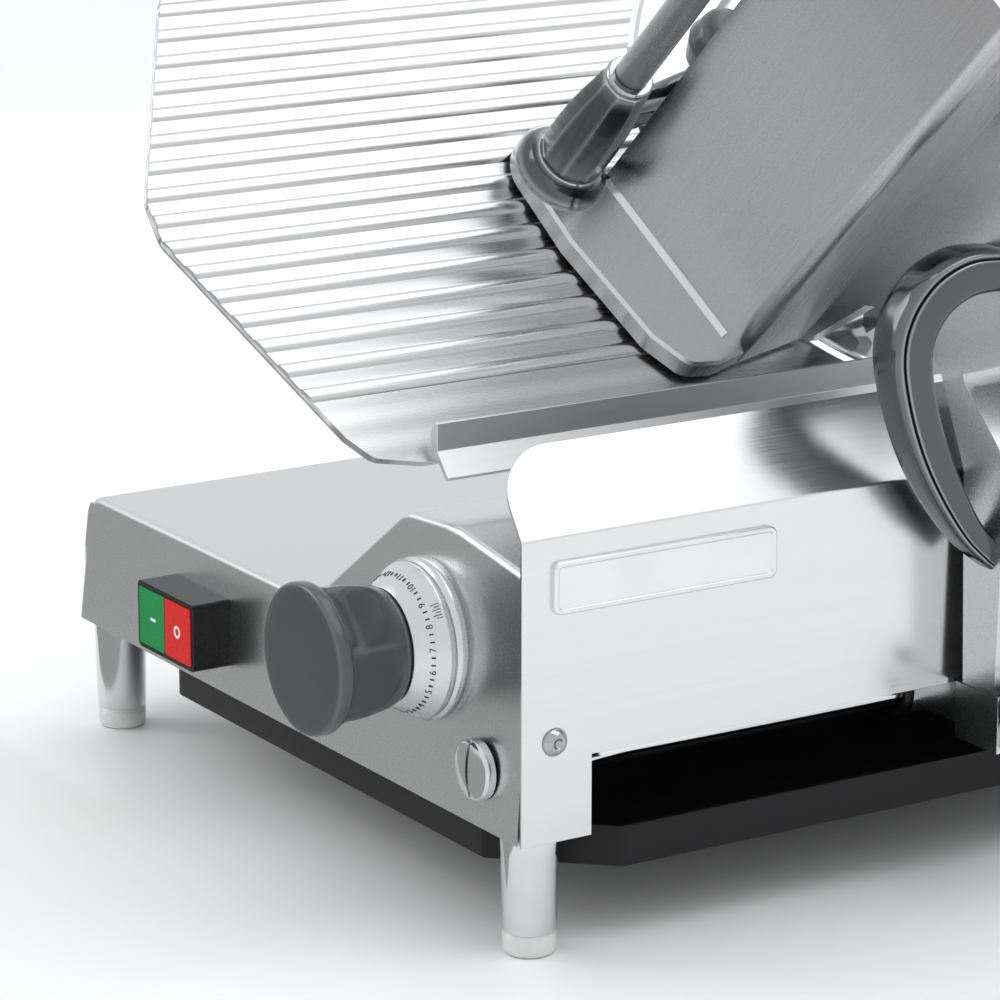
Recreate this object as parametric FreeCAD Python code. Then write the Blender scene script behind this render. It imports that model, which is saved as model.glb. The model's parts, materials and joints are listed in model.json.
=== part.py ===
import FreeCAD, Part
import math
import os

# Gravity-feed deli meat slicer, in millimetres.
# Machine axes while building: X = 0 on the outer face of the side panel (operator's right),
# Y = 0 on the foot of the front face, +Y away from the operator, Z = 0 on the underside of
# the base casting, +Z up.  At the end everything is moved so the origin is under the centre.
# Inclined pieces are drawn in blade axes: first along Y, second up the blade plane,
# third square to the blade plane towards the carriage.

os.makedirs("parts", exist_ok=True)
V = FreeCAD.Vector

# ---------------------------------------------------------------- driving sizes
base_length = 490.0
base_width = 423.0
deck_height = 66.0
ridge_height = 128.0
wall = 4.5
draft = 3.0
tilt = 42.0
gap = 0.3
shaft_gap = 0.06

foot_height = 54.0
pad_height = 11.0
foot_radius = 13.2
foot_inset_x = 14.0
foot_inset_y = 13.0

panel_thickness = 1.5
panel_fold = 138.0
panel_top = 173.5
panel_lean = 24.0
notch_start = 36.4
notch_end = 454.0
notch_height = 37.3

bar_x = -35.0
bar_z = 27.0
bar_radius = 9.0
guide_x = -20.0
guide_z = 51.0
guide_half_x = 4.0
guide_half_z = 5.0

knob_x = -85.0
knob_z = 74.0
knob_shaft_radius = 6.0
thickness_travel = 15.0
knob_turn = 290.0

blade_radius = 150.0
blade_y = 350.0
blade_up = 318.0
blade_face = 25.0
pulley_radius = 50.0
motor_pulley_radius = 16.0
motor_up = 102.0
motor_radius = 40.0
blade_shaft_radius = 10.0
bearing_radius = 21.0

gauge_half_height = 132.0
gauge_back = blade_face - 5.5
gauge_sheet = blade_face - 1.5
rib_pitch = 13.8
rib_count = 16

carriage_front = 229.0
carriage_back = 285.0
leg_front = 234.0
leg_back = 280.0

tray_low = 27.0
tray_high = 305.0
tray_wall = 4.0
tray_floor = 4.5
tray_bend = 9.0
rod_y = 136.0
rod_up = 312.0
pusher_rod_radius = 8.0
hub_length = 62.0

# ---------------------------------------------------------------- helpers
cos_t = math.cos(math.radians(tilt))
sin_t = math.sin(math.radians(tilt))
blade_axes = FreeCAD.Placement(FreeCAD.Matrix(
    0, -sin_t, cos_t, 0,
    1, 0, 0, 0,
    0, cos_t, sin_t, 0,
    0, 0, 0, 1))


def tilted(shape):
    """Move a shape drawn in blade axes into machine axes."""
    moved = shape.copy()
    moved.Placement = blade_axes.multiply(moved.Placement)
    return moved


def to_xz(off, up):
    """Blade-axes (square, up) pair as machine (X, Z)."""
    return (off * cos_t - up * sin_t, off * sin_t + up * cos_t)


def box(x0, x1, y0, y1, z0, z1):
    return Part.makeBox(x1 - x0, y1 - y0, z1 - z0, V(x0, y0, z0))


def rod(start, end, radius):
    start = V(*start)
    end = V(*end)
    return Part.makeCylinder(radius, (end - start).Length, start, end - start)


def cone(start, end, radius_start, radius_end):
    start = V(*start)
    end = V(*end)
    return Part.makeCone(radius_start, radius_end, (end - start).Length, start, end - start)


def outline(points, radii=0.0):
    """Closed face in the XY plane with rounded corners."""
    count = len(points)
    if not isinstance(radii, (list, tuple)):
        radii = [radii] * count
    corners = []
    for i in range(count):
        here = V(points[i][0], points[i][1], 0)
        before = V(points[i - 1][0], points[i - 1][1], 0)
        after = V(points[(i + 1) % count][0], points[(i + 1) % count][1], 0)
        to_before = (before - here).normalize()
        to_after = (after - here).normalize()
        half = to_before.getAngle(to_after) / 2
        if radii[i] <= 0:
            corners.append((here, here, here))
            continue
        reach = radii[i] / math.tan(half)
        centre = here + (to_before + to_after).normalize() * (radii[i] / math.sin(half))
        middle = centre + (here - centre).normalize() * radii[i]
        corners.append((here + to_before * reach, middle, here + to_after * reach))
    edges = []
    for i in range(count):
        first, middle, last = corners[i]
        if (first - last).Length > 1e-6:
            edges.append(Part.Arc(first, middle, last).toShape())
        start = corners[(i + 1) % count][0]
        if (start - last).Length > 1e-6:
            edges.append(Part.LineSegment(last, start).toShape())
    return Part.Face(Part.Wire(edges))


def plate(points, z0, z1, radii=0.0):
    """Outline in XY, thickened from z0 to z1."""
    face = outline(points, radii)
    face.translate(V(0, 0, z0))
    return face.extrude(V(0, 0, z1 - z0))


def bar_y(points, y0, y1, radii=0.0):
    """Outline given as (X, Z), extruded along Y from y0 to y1."""
    face = outline(points, radii)
    solid = face.extrude(V(0, 0, -(y1 - y0)))
    solid.rotate(V(0, 0, 0), V(1, 0, 0), 90)
    solid.translate(V(0, y0, 0))
    return solid


def blade_bar_y(points, y0, y1, radii=0.0):
    """Outline given as (square, up) in blade axes, extruded along Y."""
    return bar_y([to_xz(off, up) for off, up in points], y0, y1, radii)


def turned(profile, start, direction):
    """Revolve (radius, height) points about the line from start along direction."""
    wire = Part.makePolygon([V(r, 0, h) for r, h in profile] + [V(profile[0][0], 0, profile[0][1])])
    solid = Part.Face(wire).revolve(V(0, 0, 0), V(0, 0, 1), 360)
    turn = FreeCAD.Rotation(V(0, 0, 1), V(*direction))
    solid.Placement = FreeCAD.Placement(V(*start), turn)
    return solid


def fused(shapes):
    result = shapes[0]
    for shape in shapes[1:]:
        result = result.fuse(shape)
    return result.removeSplitter()


def cut_all(shape, tools):
    for tool in tools:
        shape = shape.cut(tool)
    return shape


def ring_sector(centre, inner, outer, z0, z1, angle_0, angle_1):
    """Flat ring segment about centre in XY, angles in degrees from +X."""
    disc = Part.makeCylinder(outer, z1 - z0, V(centre[0], centre[1], z0), V(0, 0, 1), angle_1 - angle_0)
    disc.rotate(V(centre[0], centre[1], 0), V(0, 0, 1), angle_0)
    return disc.cut(Part.makeCylinder(inner, z1 - z0 + 2, V(centre[0], centre[1], z0 - 1)))


def domed_screw(head_radius, head_height, shank_radius, shank_length, socket):
    """Domed socket screw along +Z, head seated on Z = 0."""
    sphere_radius = (head_radius ** 2 + head_height ** 2) / (2 * head_height)
    dome = Part.makeSphere(sphere_radius, V(0, 0, head_height - sphere_radius))
    head = dome.common(box(-head_radius, head_radius, -head_radius, head_radius, 0, head_height))
    corners = []
    for i in range(6):
        angle = math.radians(60 * i)
        corners.append((socket * math.cos(angle), socket * math.sin(angle)))
    head = head.cut(plate(corners, head_height * 0.4, head_height + 1))
    return head.fuse(Part.makeCylinder(shank_radius, shank_length, V(0, 0, -shank_length)))


def put(shape, position, direction):
    """Copy of a +Z shape, placed at position and pointing along direction."""
    placed = shape.copy()
    placed.Placement = FreeCAD.Placement(V(*position), FreeCAD.Rotation(V(0, 0, 1), V(*direction)))
    return placed


parts = {}

# ---------------------------------------------------------------- base casting
right_face = -3.5
skin = [(-base_width, 0), (-base_width + 8.5, deck_height), (-190, deck_height),
        (-108.5, ridge_height - 1), (-67, ridge_height + 1.5), (right_face, ridge_height - 8), (right_face, 0)]
inside = [(-base_width + wall, -1), (-base_width + wall + 8.5, deck_height - wall), (-191.5, deck_height - wall),
          (-107, ridge_height - 6), (-67, ridge_height - 3.5), (right_face - wall, ridge_height - 12.5),
          (right_face - wall, 62), (1, 62), (1, -1)]


def leaned(solid, depth):
    """Trim the ends so both lean inwards by the draft angle, depth inside the skin."""
    front = box(-500, 100, -80, 0, -50, 300)
    front.rotate(V(0, 0, 0), V(1, 0, 0), -draft)
    front.translate(V(0, depth, 0))
    back = box(-500, 100, 0, 80, -50, 300)
    back.rotate(V(0, 0, 0), V(1, 0, 0), draft)
    back.translate(V(0, base_length - depth, 0))
    return solid.cut(front).cut(back)


base_block = leaned(bar_y(skin, -5, base_length + 5, [0, 12, 10, 16, 60, 0, 0]), 0)
base_room = leaned(bar_y(inside, 0, base_length, [0, 8, 12, 12, 40, 0, 0, 0, 0]), 8)

top_edges = []
for edge in base_block.Edges:
    ends = [vertex.Point for vertex in edge.Vertexes]
    high = min(point.z for point in ends) > 50
    on_front = max(abs(point.y - point.z * math.tan(math.radians(draft))) for point in ends) < 0.01
    on_back = max(abs(base_length - point.y - point.z * math.tan(math.radians(draft))) for point in ends) < 0.01
    if high and (on_front or on_back):
        top_edges.append(edge)
base_skin = base_block.makeFillet(3.0, top_edges)
casting = base_skin.cut(base_room)

feet = []
for foot_x in (-foot_inset_x, -base_width + 21):
    for foot_y in (foot_inset_y, base_length - foot_inset_y):
        feet.append((foot_x, foot_y))
for foot_x, foot_y in feet:
    low_x, high_x = (-30, right_face) if foot_x > -100 else (-base_width + 5, -390)
    low_y, high_y = (2, 30) if foot_y < 100 else (base_length - 30, base_length - 2)
    casting = casting.fuse(box(low_x, high_x, low_y, high_y, 0, 62).common(base_block))
panel_screws = [(17, 46), (base_length - 17, 46), (60, 105), (base_length - 60, 105)]
for screw_y, screw_z in panel_screws:
    pad = rod((-12, screw_y, screw_z), (-panel_thickness, screw_y, screw_z), 7)
    casting = casting.fuse(pad)
pan_screws = [(-60, 60), (-60, base_length - 60)]
for screw_x, screw_y in pan_screws:
    casting = casting.fuse(rod((screw_x, screw_y, -16.4), (screw_x, screw_y, 63), 7))
    casting = casting.fuse(rod((screw_x, screw_y, 60), (screw_x, screw_y, 124), 7).common(base_block))

main_bar = rod((bar_x, 3, bar_z), (bar_x, base_length - 3, bar_z), bar_radius)
guide_bar = box(guide_x - guide_half_x, guide_x + guide_half_x, 11, base_length - 11,
                guide_z - guide_half_z, guide_z + guide_half_z)
switch_x0, switch_x1 = -322.0, -265.0
switch_z0, switch_z1 = 13.5, 47.0
switch_inner = box(switch_x0 + 5, switch_x1 - 5, -4, 34, switch_z0 + 3.5, switch_z1 - 3.5)
knob_bush = rod((knob_x, -5, knob_z), (knob_x, 16, knob_z), 14)
arm_slot = tilted(plate([(93, 118), (147, 118), (147, 190), (93, 190)], -11, 24, 4))
belt_low, belt_high = blade_y - 36, blade_y + 36
belt_slot = tilted(plate([(belt_low, 104), (belt_high, 104), (belt_high, 200), (belt_low, 200)], -3, 18.5, 4))
gland_bore = rod((-380, base_length - 20, 33), (-380, base_length + 5, 33), 8)
casting = cut_all(casting, [main_bar, guide_bar, switch_inner, knob_bush, arm_slot, belt_slot, gland_bore])
casting = cut_all(casting, [rod((bar_x, -10, bar_z), (bar_x, base_length + 10, bar_z), bar_radius)])
for foot_x, foot_y in feet:
    casting = casting.cut(rod((foot_x, foot_y, -1), (foot_x, foot_y, 16), 4))

# ---------------------------------------------------------------- side panel and screws
panel_line = [(0, 0), (0, panel_fold), (-panel_lean, panel_top), (-panel_lean - 1.24, panel_top - 0.84),
              (-panel_thickness, panel_fold - 0.46), (-panel_thickness, 0)]
panel = bar_y(panel_line, 0, base_length, [0, 2.5, 0, 0, 1, 0])
panel_corners = []
for edge in panel.Edges:
    middle = edge.CenterOfMass
    if edge.Length < 2 and middle.z > panel_top - 2:
        panel_corners.append(edge)
panel = panel.makeFillet(27, panel_corners)
panel = panel.cut(bar_y([(-3, -5), (-3, notch_height), (2, notch_height), (2, -5)], notch_start, notch_end))
base_screw = domed_screw(6.6, 4.2, 3.2, 10.0, 2.9)
base_screws = []
for screw_y, screw_z in panel_screws[:2]:
    base_screws.append(put(base_screw, (0, screw_y, screw_z), (1, 0, 0)))
for screw in base_screws:
    shank = screw.common(box(-20, 0, 0, base_length, 0, 200))
    panel = panel.cut(shank)
    casting = casting.cut(shank)
parts["base_screws"] = Part.makeCompound(base_screws)
parts["side_panel"] = panel

badge = plate([(0, 0), (117.3, 0), (117.3, 23.8), (0, 23.8)], 0, 2.6, 4)
badge_edges = [edge for edge in badge.Edges if min(vertex.Point.z for vertex in edge.Vertexes) > 2.5]
badge = badge.makeChamfer(1.0, badge_edges)
badge.Placement = FreeCAD.Placement(V(0, 15.3, 103.5), FreeCAD.Rotation(V(0, 1, 0), V(0, 0, 1), V(1, 0, 0), "XYZ"))
parts["badge_plate"] = badge

# ---------------------------------------------------------------- bottom cover, feet
pan_left = -339.0
pan_depth = 18.5
pan_plan = [(pan_left, 8), (-44, 8), (-panel_thickness, 54), (-panel_thickness, base_length - 54),
            (-44, base_length - 8), (pan_left, base_length - 8)]
pan_room = [(pan_left + 2, 10), (-44.8, 10), (-panel_thickness - 2, 54.8), (-panel_thickness - 2, base_length - 54.8),
            (-44.8, base_length - 10), (pan_left + 2, base_length - 10)]
pan = plate(pan_plan, -pan_depth, 0, [12, 5, 5, 5, 5, 12])
pan = pan.cut(plate(pan_room, -pan_depth + 2, 1, [10, 4, 4, 4, 4, 10]))
flange = plate([(-base_width + 4, 32), (-base_width + 34, 32), (-base_width + 34, 4), (pan_left + 6, 4),
                (pan_left + 6, base_length - 4), (-base_width + 34, base_length - 4),
                (-base_width + 34, base_length - 32), (-base_width + 4, base_length - 32)], -1.5, 0)
flange = flange.cut(plate(pan_room, -3, 1, [10, 4, 4, 4, 4, 10]))
pan = pan.fuse(flange)
cover_screw = domed_screw(5.0, 3.0, 2.5, 9.0, 2.0)
cover_screws = []
for screw_x, screw_y in pan_screws:
    cover_screws.append(put(cover_screw, (screw_x, screw_y, -pan_depth), (0, 0, -1)))
for screw in cover_screws:
    shank = screw.common(box(-500, 0, 0, base_length, -pan_depth, 100))
    pan = pan.cut(shank)
    casting = casting.cut(shank)
parts["cover_screws"] = Part.makeCompound(cover_screws)
parts["base_cover"] = pan

posts = []
pads = []
for foot_x, foot_y in feet:
    post = cone((foot_x, foot_y, 0), (foot_x, foot_y, -foot_height + pad_height), foot_radius, foot_radius - 1.0)
    posts.append(post.fuse(rod((foot_x, foot_y, 0), (foot_x, foot_y, 15), 4)))
    pad = rod((foot_x, foot_y, -foot_height), (foot_x, foot_y, -foot_height + pad_height), foot_radius - 1.2)
    low = [edge for edge in pad.Edges if edge.Closed and edge.CenterOfMass.z < -foot_height + 1]
    pads.append(pad.makeFillet(3.0, low))
parts["foot_posts"] = Part.makeCompound(posts)
parts["foot_pads"] = Part.makeCompound(pads)

# ---------------------------------------------------------------- switch
switch_front = -18.0
housing = bar_y([(switch_x0, switch_z0), (switch_x1, switch_z0), (switch_x1, switch_z1), (switch_x0, switch_z1)],
                switch_front, 6, 2.5)
housing = housing.cut(base_block).fuse(switch_inner.cut(box(-400, -200, -10, -3, 0, 60)))
button_z0, button_z1 = switch_z0 + 2.5, switch_z1 - 2.5
switch_middle = (switch_x0 + switch_x1) / 2
buttons = {"start_button": (switch_x0 + 2.5, switch_middle - 0.4), "stop_button": (switch_middle + 0.4, switch_x1 - 2.5)}
for name, (x0, x1) in buttons.items():
    pocket = box(x0 - gap, x1 + gap, switch_front - 1, -4, button_z0 - gap, button_z1 + gap)
    stem_x = (x0 + x1) / 2
    stem_z = (button_z0 + button_z1) / 2
    housing = housing.cut(pocket).cut(rod((stem_x, -5, stem_z), (stem_x, 10, stem_z), 3.1))
    cap = bar_y([(x0, button_z0), (x1, button_z0), (x1, button_z1), (x0, button_z1)], switch_front - 0.6, -9, 1)
    parts[name] = cap.fuse(rod((stem_x, -9.5, stem_z), (stem_x, 5, stem_z), 2.8))
parts["switch_housing"] = housing

# ---------------------------------------------------------------- carriage bars
parts["carriage_rod"] = main_bar
parts["guide_bar"] = guide_bar
caps = []
for end_y, outward in ((0.0, -1), (base_length, 1)):
    start = (bar_x, end_y - 4 * outward, bar_z)
    sphere_radius = 45.0
    dome_centre = V(bar_x, end_y + outward * (6.5 - sphere_radius), bar_z)
    cap = rod(start, (bar_x, end_y + 7 * outward, bar_z), 14)
    cap = cap.common(Part.makeSphere(sphere_radius, dome_centre)).cut(base_block)
    slot_y = sorted((end_y + 3.6 * outward, end_y + 8 * outward))
    cap = cap.cut(box(bar_x - 1.0, bar_x + 1.0, slot_y[0], slot_y[1], bar_z - 20, bar_z + 20))
    caps.append(cap)
parts["rod_end_caps"] = Part.makeCompound(caps)

# ---------------------------------------------------------------- thickness knob and dial
index_ring = rod((knob_x, -1.7, knob_z), (knob_x, 8, knob_z), 36.8).cut(base_block)
index_ring = index_ring.fuse(rod((knob_x, -1.7, knob_z), (knob_x, 16, knob_z), 14))
index_ring = index_ring.cut(rod((knob_x, -5, knob_z), (knob_x, 20, knob_z), knob_shaft_radius + shaft_gap))
parts["dial_index_ring"] = index_ring
shaft = rod((knob_x, -50, knob_z), (knob_x, 32, knob_z), knob_shaft_radius)
shaft = shaft.fuse(rod((knob_x, 16.4, knob_z), (knob_x, 20.3, knob_z), 9))
parts["knob_shaft"] = shaft
dial = turned([(knob_shaft_radius, 2), (35.6, 2), (35.6, 5), (26.2, 18.6), (knob_shaft_radius, 18.6)],
              (knob_x, 0, knob_z), (0, -1, 0))
parts["dial_ring"] = dial
knob = turned([(0, 50), (knob_shaft_radius, 50), (knob_shaft_radius, 18.8), (25.6, 18.8), (34.4, 54),
               (34.6, 57.5), (33, 60), (30.5, 61), (0, 61)], (knob_x, 0, knob_z), (0, -1, 0))
for i in range(6):
    angle = math.radians(60 * i - 12.4)
    out = (math.cos(angle), math.sin(angle))
    start = (knob_x + out[0] * 47, -16, knob_z + out[1] * 47)
    end = (knob_x + out[0] * 54, -53, knob_z + out[1] * 54)
    knob = knob.cut(rod(start, end, 24))
parts["knob"] = knob

cam_low = 16.0
follower_angle = 180.0 + 90.0 - tilt
cam_points = []
for i in range(0, 59):
    turn = -i * 5.0
    reach = cam_low + thickness_travel * i * 5.0 / knob_turn
    cam_points.append((turn, reach))
spiral = []
for turn, reach in cam_points:
    angle = math.radians(follower_angle + turn)
    spiral.append(V(knob_x + reach * math.sin(angle), 0, knob_z + reach * math.cos(angle)))
tail = []
for turn, reach in ((-305.0, cam_low + thickness_travel), (-330.0, cam_low), (-345.0, cam_low), (-360.0, cam_low)):
    angle = math.radians(follower_angle + turn)
    tail.append(V(knob_x + reach * math.sin(angle), 0, knob_z + reach * math.cos(angle)))
curve = Part.BSplineCurve()
curve.interpolate(spiral)
cam_wire = Part.Wire([curve.toShape()] + [Part.LineSegment(a, b).toShape()
                     for a, b in zip([spiral[-1]] + tail[:-1], tail[:-1] + [spiral[0]])])
cam = Part.Face(cam_wire).extrude(V(0, 7, 0))
cam.translate(V(0, 20.6, 0))
cam = cam.cut(rod((knob_x, 15, knob_z), (knob_x, 40, knob_z), knob_shaft_radius))
parts["thickness_cam"] = cam

# ---------------------------------------------------------------- gauge plate and its slide
knob_off = knob_x * cos_t + knob_z * sin_t
knob_up = -knob_x * sin_t + knob_z * cos_t
slide_up = 105.5
slide_y = 120.0
slide_rod = tilted(rod((slide_y, slide_up, -62), (slide_y, slide_up, 37), 7))
parts["gauge_guide_rod"] = slide_rod
bracket = tilted(plate([(98, 84), (142, 84), (142, 90), (98, 90)], -66, 41))
for off_0, off_1 in ((-66, -57), (32, 41)):
    bracket = bracket.fuse(tilted(plate([(104, 84), (136, 84), (136, 120), (104, 120)], off_0, off_1, [0, 0, 8, 8])))
for ear_y in (86, 148):
    bracket = bracket.fuse(tilted(plate([(ear_y, 84), (ear_y + 6, 84), (ear_y + 6, 170), (ear_y, 170)], 8, 41)))
bracket = bracket.fuse(tilted(plate([(86, 84), (154, 84), (154, 90), (86, 90)], 8, 41)))
parts["gauge_guide_bracket"] = bracket.common(base_room).cut(slide_rod).removeSplitter()

arm = blade_bar_y([(-26, 94), (8, 94), (8, 116), (gauge_back, 148), (gauge_back, 235), (11, 235), (11, 158),
                   (-4, 126), (-26, 118)], 98, 142, [2, 2, 4, 6, 0, 3, 10, 10, 2])
arm = arm.fuse(tilted(plate([(92, 104), (110, 104), (110, 117), (92, 117)], -38, -18)))
follower_off = knob_off - cam_low - 4.0 - 0.4
arm = arm.fuse(tilted(plate([(30, 107), (96, 107), (96, 117), (30, 117)], follower_off - 4.5, follower_off + 4.5)))
follower = tilted(rod((17, knob_up, follower_off), (31, knob_up, follower_off), 4.0))
arm = arm.fuse(follower)
arm = arm.cut(tilted(rod((slide_y, slide_up, -70), (slide_y, slide_up, 60), 7 + shaft_gap)))
parts["gauge_arm"] = arm.removeSplitter()

gauge_top = blade_up + gauge_half_height
gauge_end = blade_y - 53
gauge_line = [(14, 180), (-10, 185.5), (-20, 198), (-71, 307), (-71, 329), (-26, 432), (-14, gauge_top),
              (gauge_end, gauge_top), (gauge_end, 180)]
gauge_radii = [10, 10, 8, 12, 12, 12, 8, 0, 0]
blade_gap = Part.makeCylinder(blade_radius + 3, 60, V(blade_y, blade_up, 0))
gauge = plate(gauge_line, gauge_back, gauge_sheet, gauge_radii).cut(blade_gap)
rib_room = plate(gauge_line, gauge_sheet - 1, blade_face + 1, gauge_radii).cut(blade_gap)
for i in range(rib_count):
    rib_up = 221.0 + rib_pitch * i
    rib = rod((-80, rib_up, blade_face - 6.0), (gauge_end + 8, rib_up, blade_face - 6.0), 6.0)
    gauge = gauge.fuse(rib.common(rib_room))
parts["gauge_plate"] = tilted(gauge.removeSplitter())

# ---------------------------------------------------------------- fixed rail under the plate
rail_line = [(27.5, 167), (30, 167), (30, 181.1), (38.5, 190.5), (36.7, 192.2), (27.5, 182.1)]
rail = blade_bar_y(rail_line, 18, 400)
rail_end = [(27.5, 167), (30, 167), (30, 181.1), (38.5, 190.5), (36.7, 192.2), (29, 190), (27.5, 184)]
rail = rail.fuse(blade_bar_y(rail_end, 18, 20.5))
for leg_y in (170, 345):
    rail = rail.fuse(blade_bar_y([(27.5, 120), (30, 120), (30, 170), (27.5, 170)], leg_y, leg_y + 30).cut(base_block))
parts["front_rail"] = rail.removeSplitter()

# ---------------------------------------------------------------- blade housing, guard, belt
hub = (blade_y, blade_up)


def blade_disc(radius, off_0, off_1, centre=hub):
    return Part.makeCylinder(radius, off_1 - off_0, V(centre[0], centre[1], off_0))


neck_out = [(blade_y - 47, 120), (blade_y + 47, 120), (blade_y + 61, 330), (blade_y - 61, 330)]
neck_in = [(blade_y - 42, 110), (blade_y + 42, 110), (blade_y + 56, 330), (blade_y - 56, 330)]
shell = plate(neck_out, -6, 13.5).fuse(blade_disc(62, -6, 13.5))
shell = shell.cut(plate(neck_in, -2, 15)).cut(blade_disc(57, -2, 15))
shell = shell.fuse(blade_disc(27, -46, -4))
shell = shell.fuse(ring_sector(hub, 58, 160, -6, -1, -62, 62))
head_low, head_high = blade_y - 31, blade_y + 31
shell = shell.fuse(plate([(head_low, 362), (head_high, 362), (head_high, 432), (head_low, 432)], -6, -1))
for arm_y in (blade_y - 31, blade_y + 26):
    cheek = blade_bar_y([(-44, 446), (-44, 462), (-28, 462), (-6, 432), (-1, 432), (-1, 372), (-6, 372), (-28, 430)],
                        arm_y, arm_y + 5, [8, 7.9, 7.9, 0, 0, 0, 0, 8])
    turn_back = cheek.copy()
    turn_back.Placement = blade_axes.inverse().multiply(turn_back.Placement)
    shell = shell.fuse(turn_back)
pivot_off, pivot_up = -36.0, 454.0
pivot_line = rod((blade_y - 45, pivot_up, pivot_off), (blade_y + 45, pivot_up, pivot_off), 4.0)
shell = shell.cut(pivot_line)
shell = shell.cut(blade_disc(bearing_radius, -47, -8)).cut(blade_disc(13, -9, 15))
parts["blade_housing"] = tilted(shell).cut(base_block).removeSplitter()

guard = ring_sector(hub, 152.5, 160, -1, 25.2, -95, 72)
foot_low, foot_high = blade_y - 53, blade_y + 53
guard = guard.cut(plate([(foot_low, 100), (foot_high, 100), (foot_high, 200), (foot_low, 200)], -7, 17.2))
parts["ring_guard"] = tilted(guard).cut(base_block).removeSplitter()

bearing_ring = []
for off_0 in (-45, -21):
    ring = blade_disc(bearing_radius, off_0, off_0 + 12).cut(blade_disc(blade_shaft_radius + shaft_gap, off_0 - 1, off_0 + 13))
    bearing_ring.append(tilted(ring))
parts["bearings"] = Part.makeCompound(bearing_ring)


def belt_loop(radius_1, radius_2):
    """Face bounded by a belt line round the two pulleys."""
    distance = blade_up - motor_up
    rise = (radius_2 - radius_1) / distance
    run = math.sqrt(1 - rise * rise)
    top = [V(blade_y + run * radius_1, blade_up + rise * radius_1, 0), V(blade_y, blade_up + radius_1, 0),
           V(blade_y - run * radius_1, blade_up + rise * radius_1, 0)]
    low = [V(blade_y - run * radius_2, motor_up + rise * radius_2, 0), V(blade_y, motor_up - radius_2, 0),
           V(blade_y + run * radius_2, motor_up + rise * radius_2, 0)]
    edges = [Part.Arc(*top).toShape(), Part.LineSegment(top[2], low[0]).toShape(), Part.Arc(*low).toShape(),
             Part.LineSegment(low[2], top[0]).toShape()]
    return Part.Face(Part.Wire(edges))


belt = belt_loop(pulley_radius + gap + 3, motor_pulley_radius + gap + 3)
belt = belt.cut(belt_loop(pulley_radius + gap, motor_pulley_radius + gap))
belt = belt.extrude(V(0, 0, 8.4))
belt.translate(V(0, 0, 4.8))
parts["drive_belt"] = tilted(belt)

# ---------------------------------------------------------------- motor
motor_axis = (blade_y, motor_up)
motor = blade_disc(motor_radius, -84, -4, motor_axis)
plate_low, plate_high = blade_y - 53, blade_y + 53
motor = motor.fuse(plate([(plate_low, 62), (plate_high, 62), (plate_high, 165), (plate_low, 165)], -8, -4, 6))
motor = motor.cut(blade_disc(7 + shaft_gap, -62, 0, motor_axis))
parts["motor_body"] = tilted(motor).common(base_room.fuse(box(-300, -60, blade_y - 115, blade_y + 105, -16, 5))).removeSplitter()
parts["motor_shaft"] = tilted(blade_disc(7, -60, 16.5, motor_axis))
small = blade_disc(motor_pulley_radius, 3, 15, motor_axis)
for off_0 in (3, 13.5):
    small = small.fuse(blade_disc(motor_pulley_radius + 2.5, off_0, off_0 + 1.5, motor_axis))
parts["motor_pulley"] = tilted(small.cut(blade_disc(7, 0, 20, motor_axis)).removeSplitter())

# ---------------------------------------------------------------- blade and hub
parts["blade_shaft"] = tilted(blade_disc(blade_shaft_radius, -45.5, 17).cut(blade_disc(5, -50, 20)))
hub_body = blade_disc(pulley_radius, 3, 15)
for off_0 in (3, 13.5):
    hub_body = hub_body.fuse(blade_disc(pulley_radius + 2.5, off_0, off_0 + 1.5))
hub_body = hub_body.fuse(blade_disc(36, 15, 18)).fuse(blade_disc(19.9, 18, 20.5))
hub_body = hub_body.cut(blade_disc(blade_shaft_radius, 0, 17)).cut(blade_disc(5, 16, 22))
blade_profile = [(20, 18), (118, 18), (139, 20.6), (150, 24.3), (150, 24.8), (139, 24.2), (122, 21), (20, 21)]
blade_body = turned(blade_profile, (blade_y, blade_up, 0), (0, 0, 1))
blade_screw = domed_screw(4.2, 1.9, 2.4, 9.0, 1.6)
blade_screws = []
for i in range(4):
    angle = math.radians(45 + 90 * i)
    position = (blade_y + 28 * math.cos(angle), blade_up + 28 * math.sin(angle), 21)
    blade_screws.append(put(blade_screw, position, (0, 0, 1)))
for screw in blade_screws:
    shank = screw.common(box(0, 500, 0, 500, 0, 21))
    hub_body = hub_body.cut(shank)
    blade_body = blade_body.cut(shank)
parts["blade_screws"] = tilted(Part.makeCompound(blade_screws))
parts["blade_hub"] = tilted(hub_body.removeSplitter())
parts["blade"] = tilted(blade_body)
cover_profile = [(4.1, 23.3), (100, 23.3), (111, 22.0), (112.5, 22.7), (101, 25.0), (4.1, 25.2)]
parts["blade_cover"] = tilted(turned(cover_profile, (blade_y, blade_up, 0), (0, 0, 1)))
parts["cover_tie_rod"] = tilted(blade_disc(4, -80, 25).fuse(blade_disc(8, -55, -50)))
cover_knob = blade_disc(19, -96, -76)
cover_knob = cover_knob.makeFillet(3, [edge for edge in cover_knob.Edges if edge.Closed and edge.CenterOfMass.z < -90])
for i in range(6):
    angle = math.radians(60 * i)
    cover_knob = cover_knob.cut(blade_disc(5, -100, -70, (blade_y + 22 * math.cos(angle), blade_up + 22 * math.sin(angle))))
parts["cover_knob"] = tilted(cover_knob.cut(blade_disc(4, -80, -70)))

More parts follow.
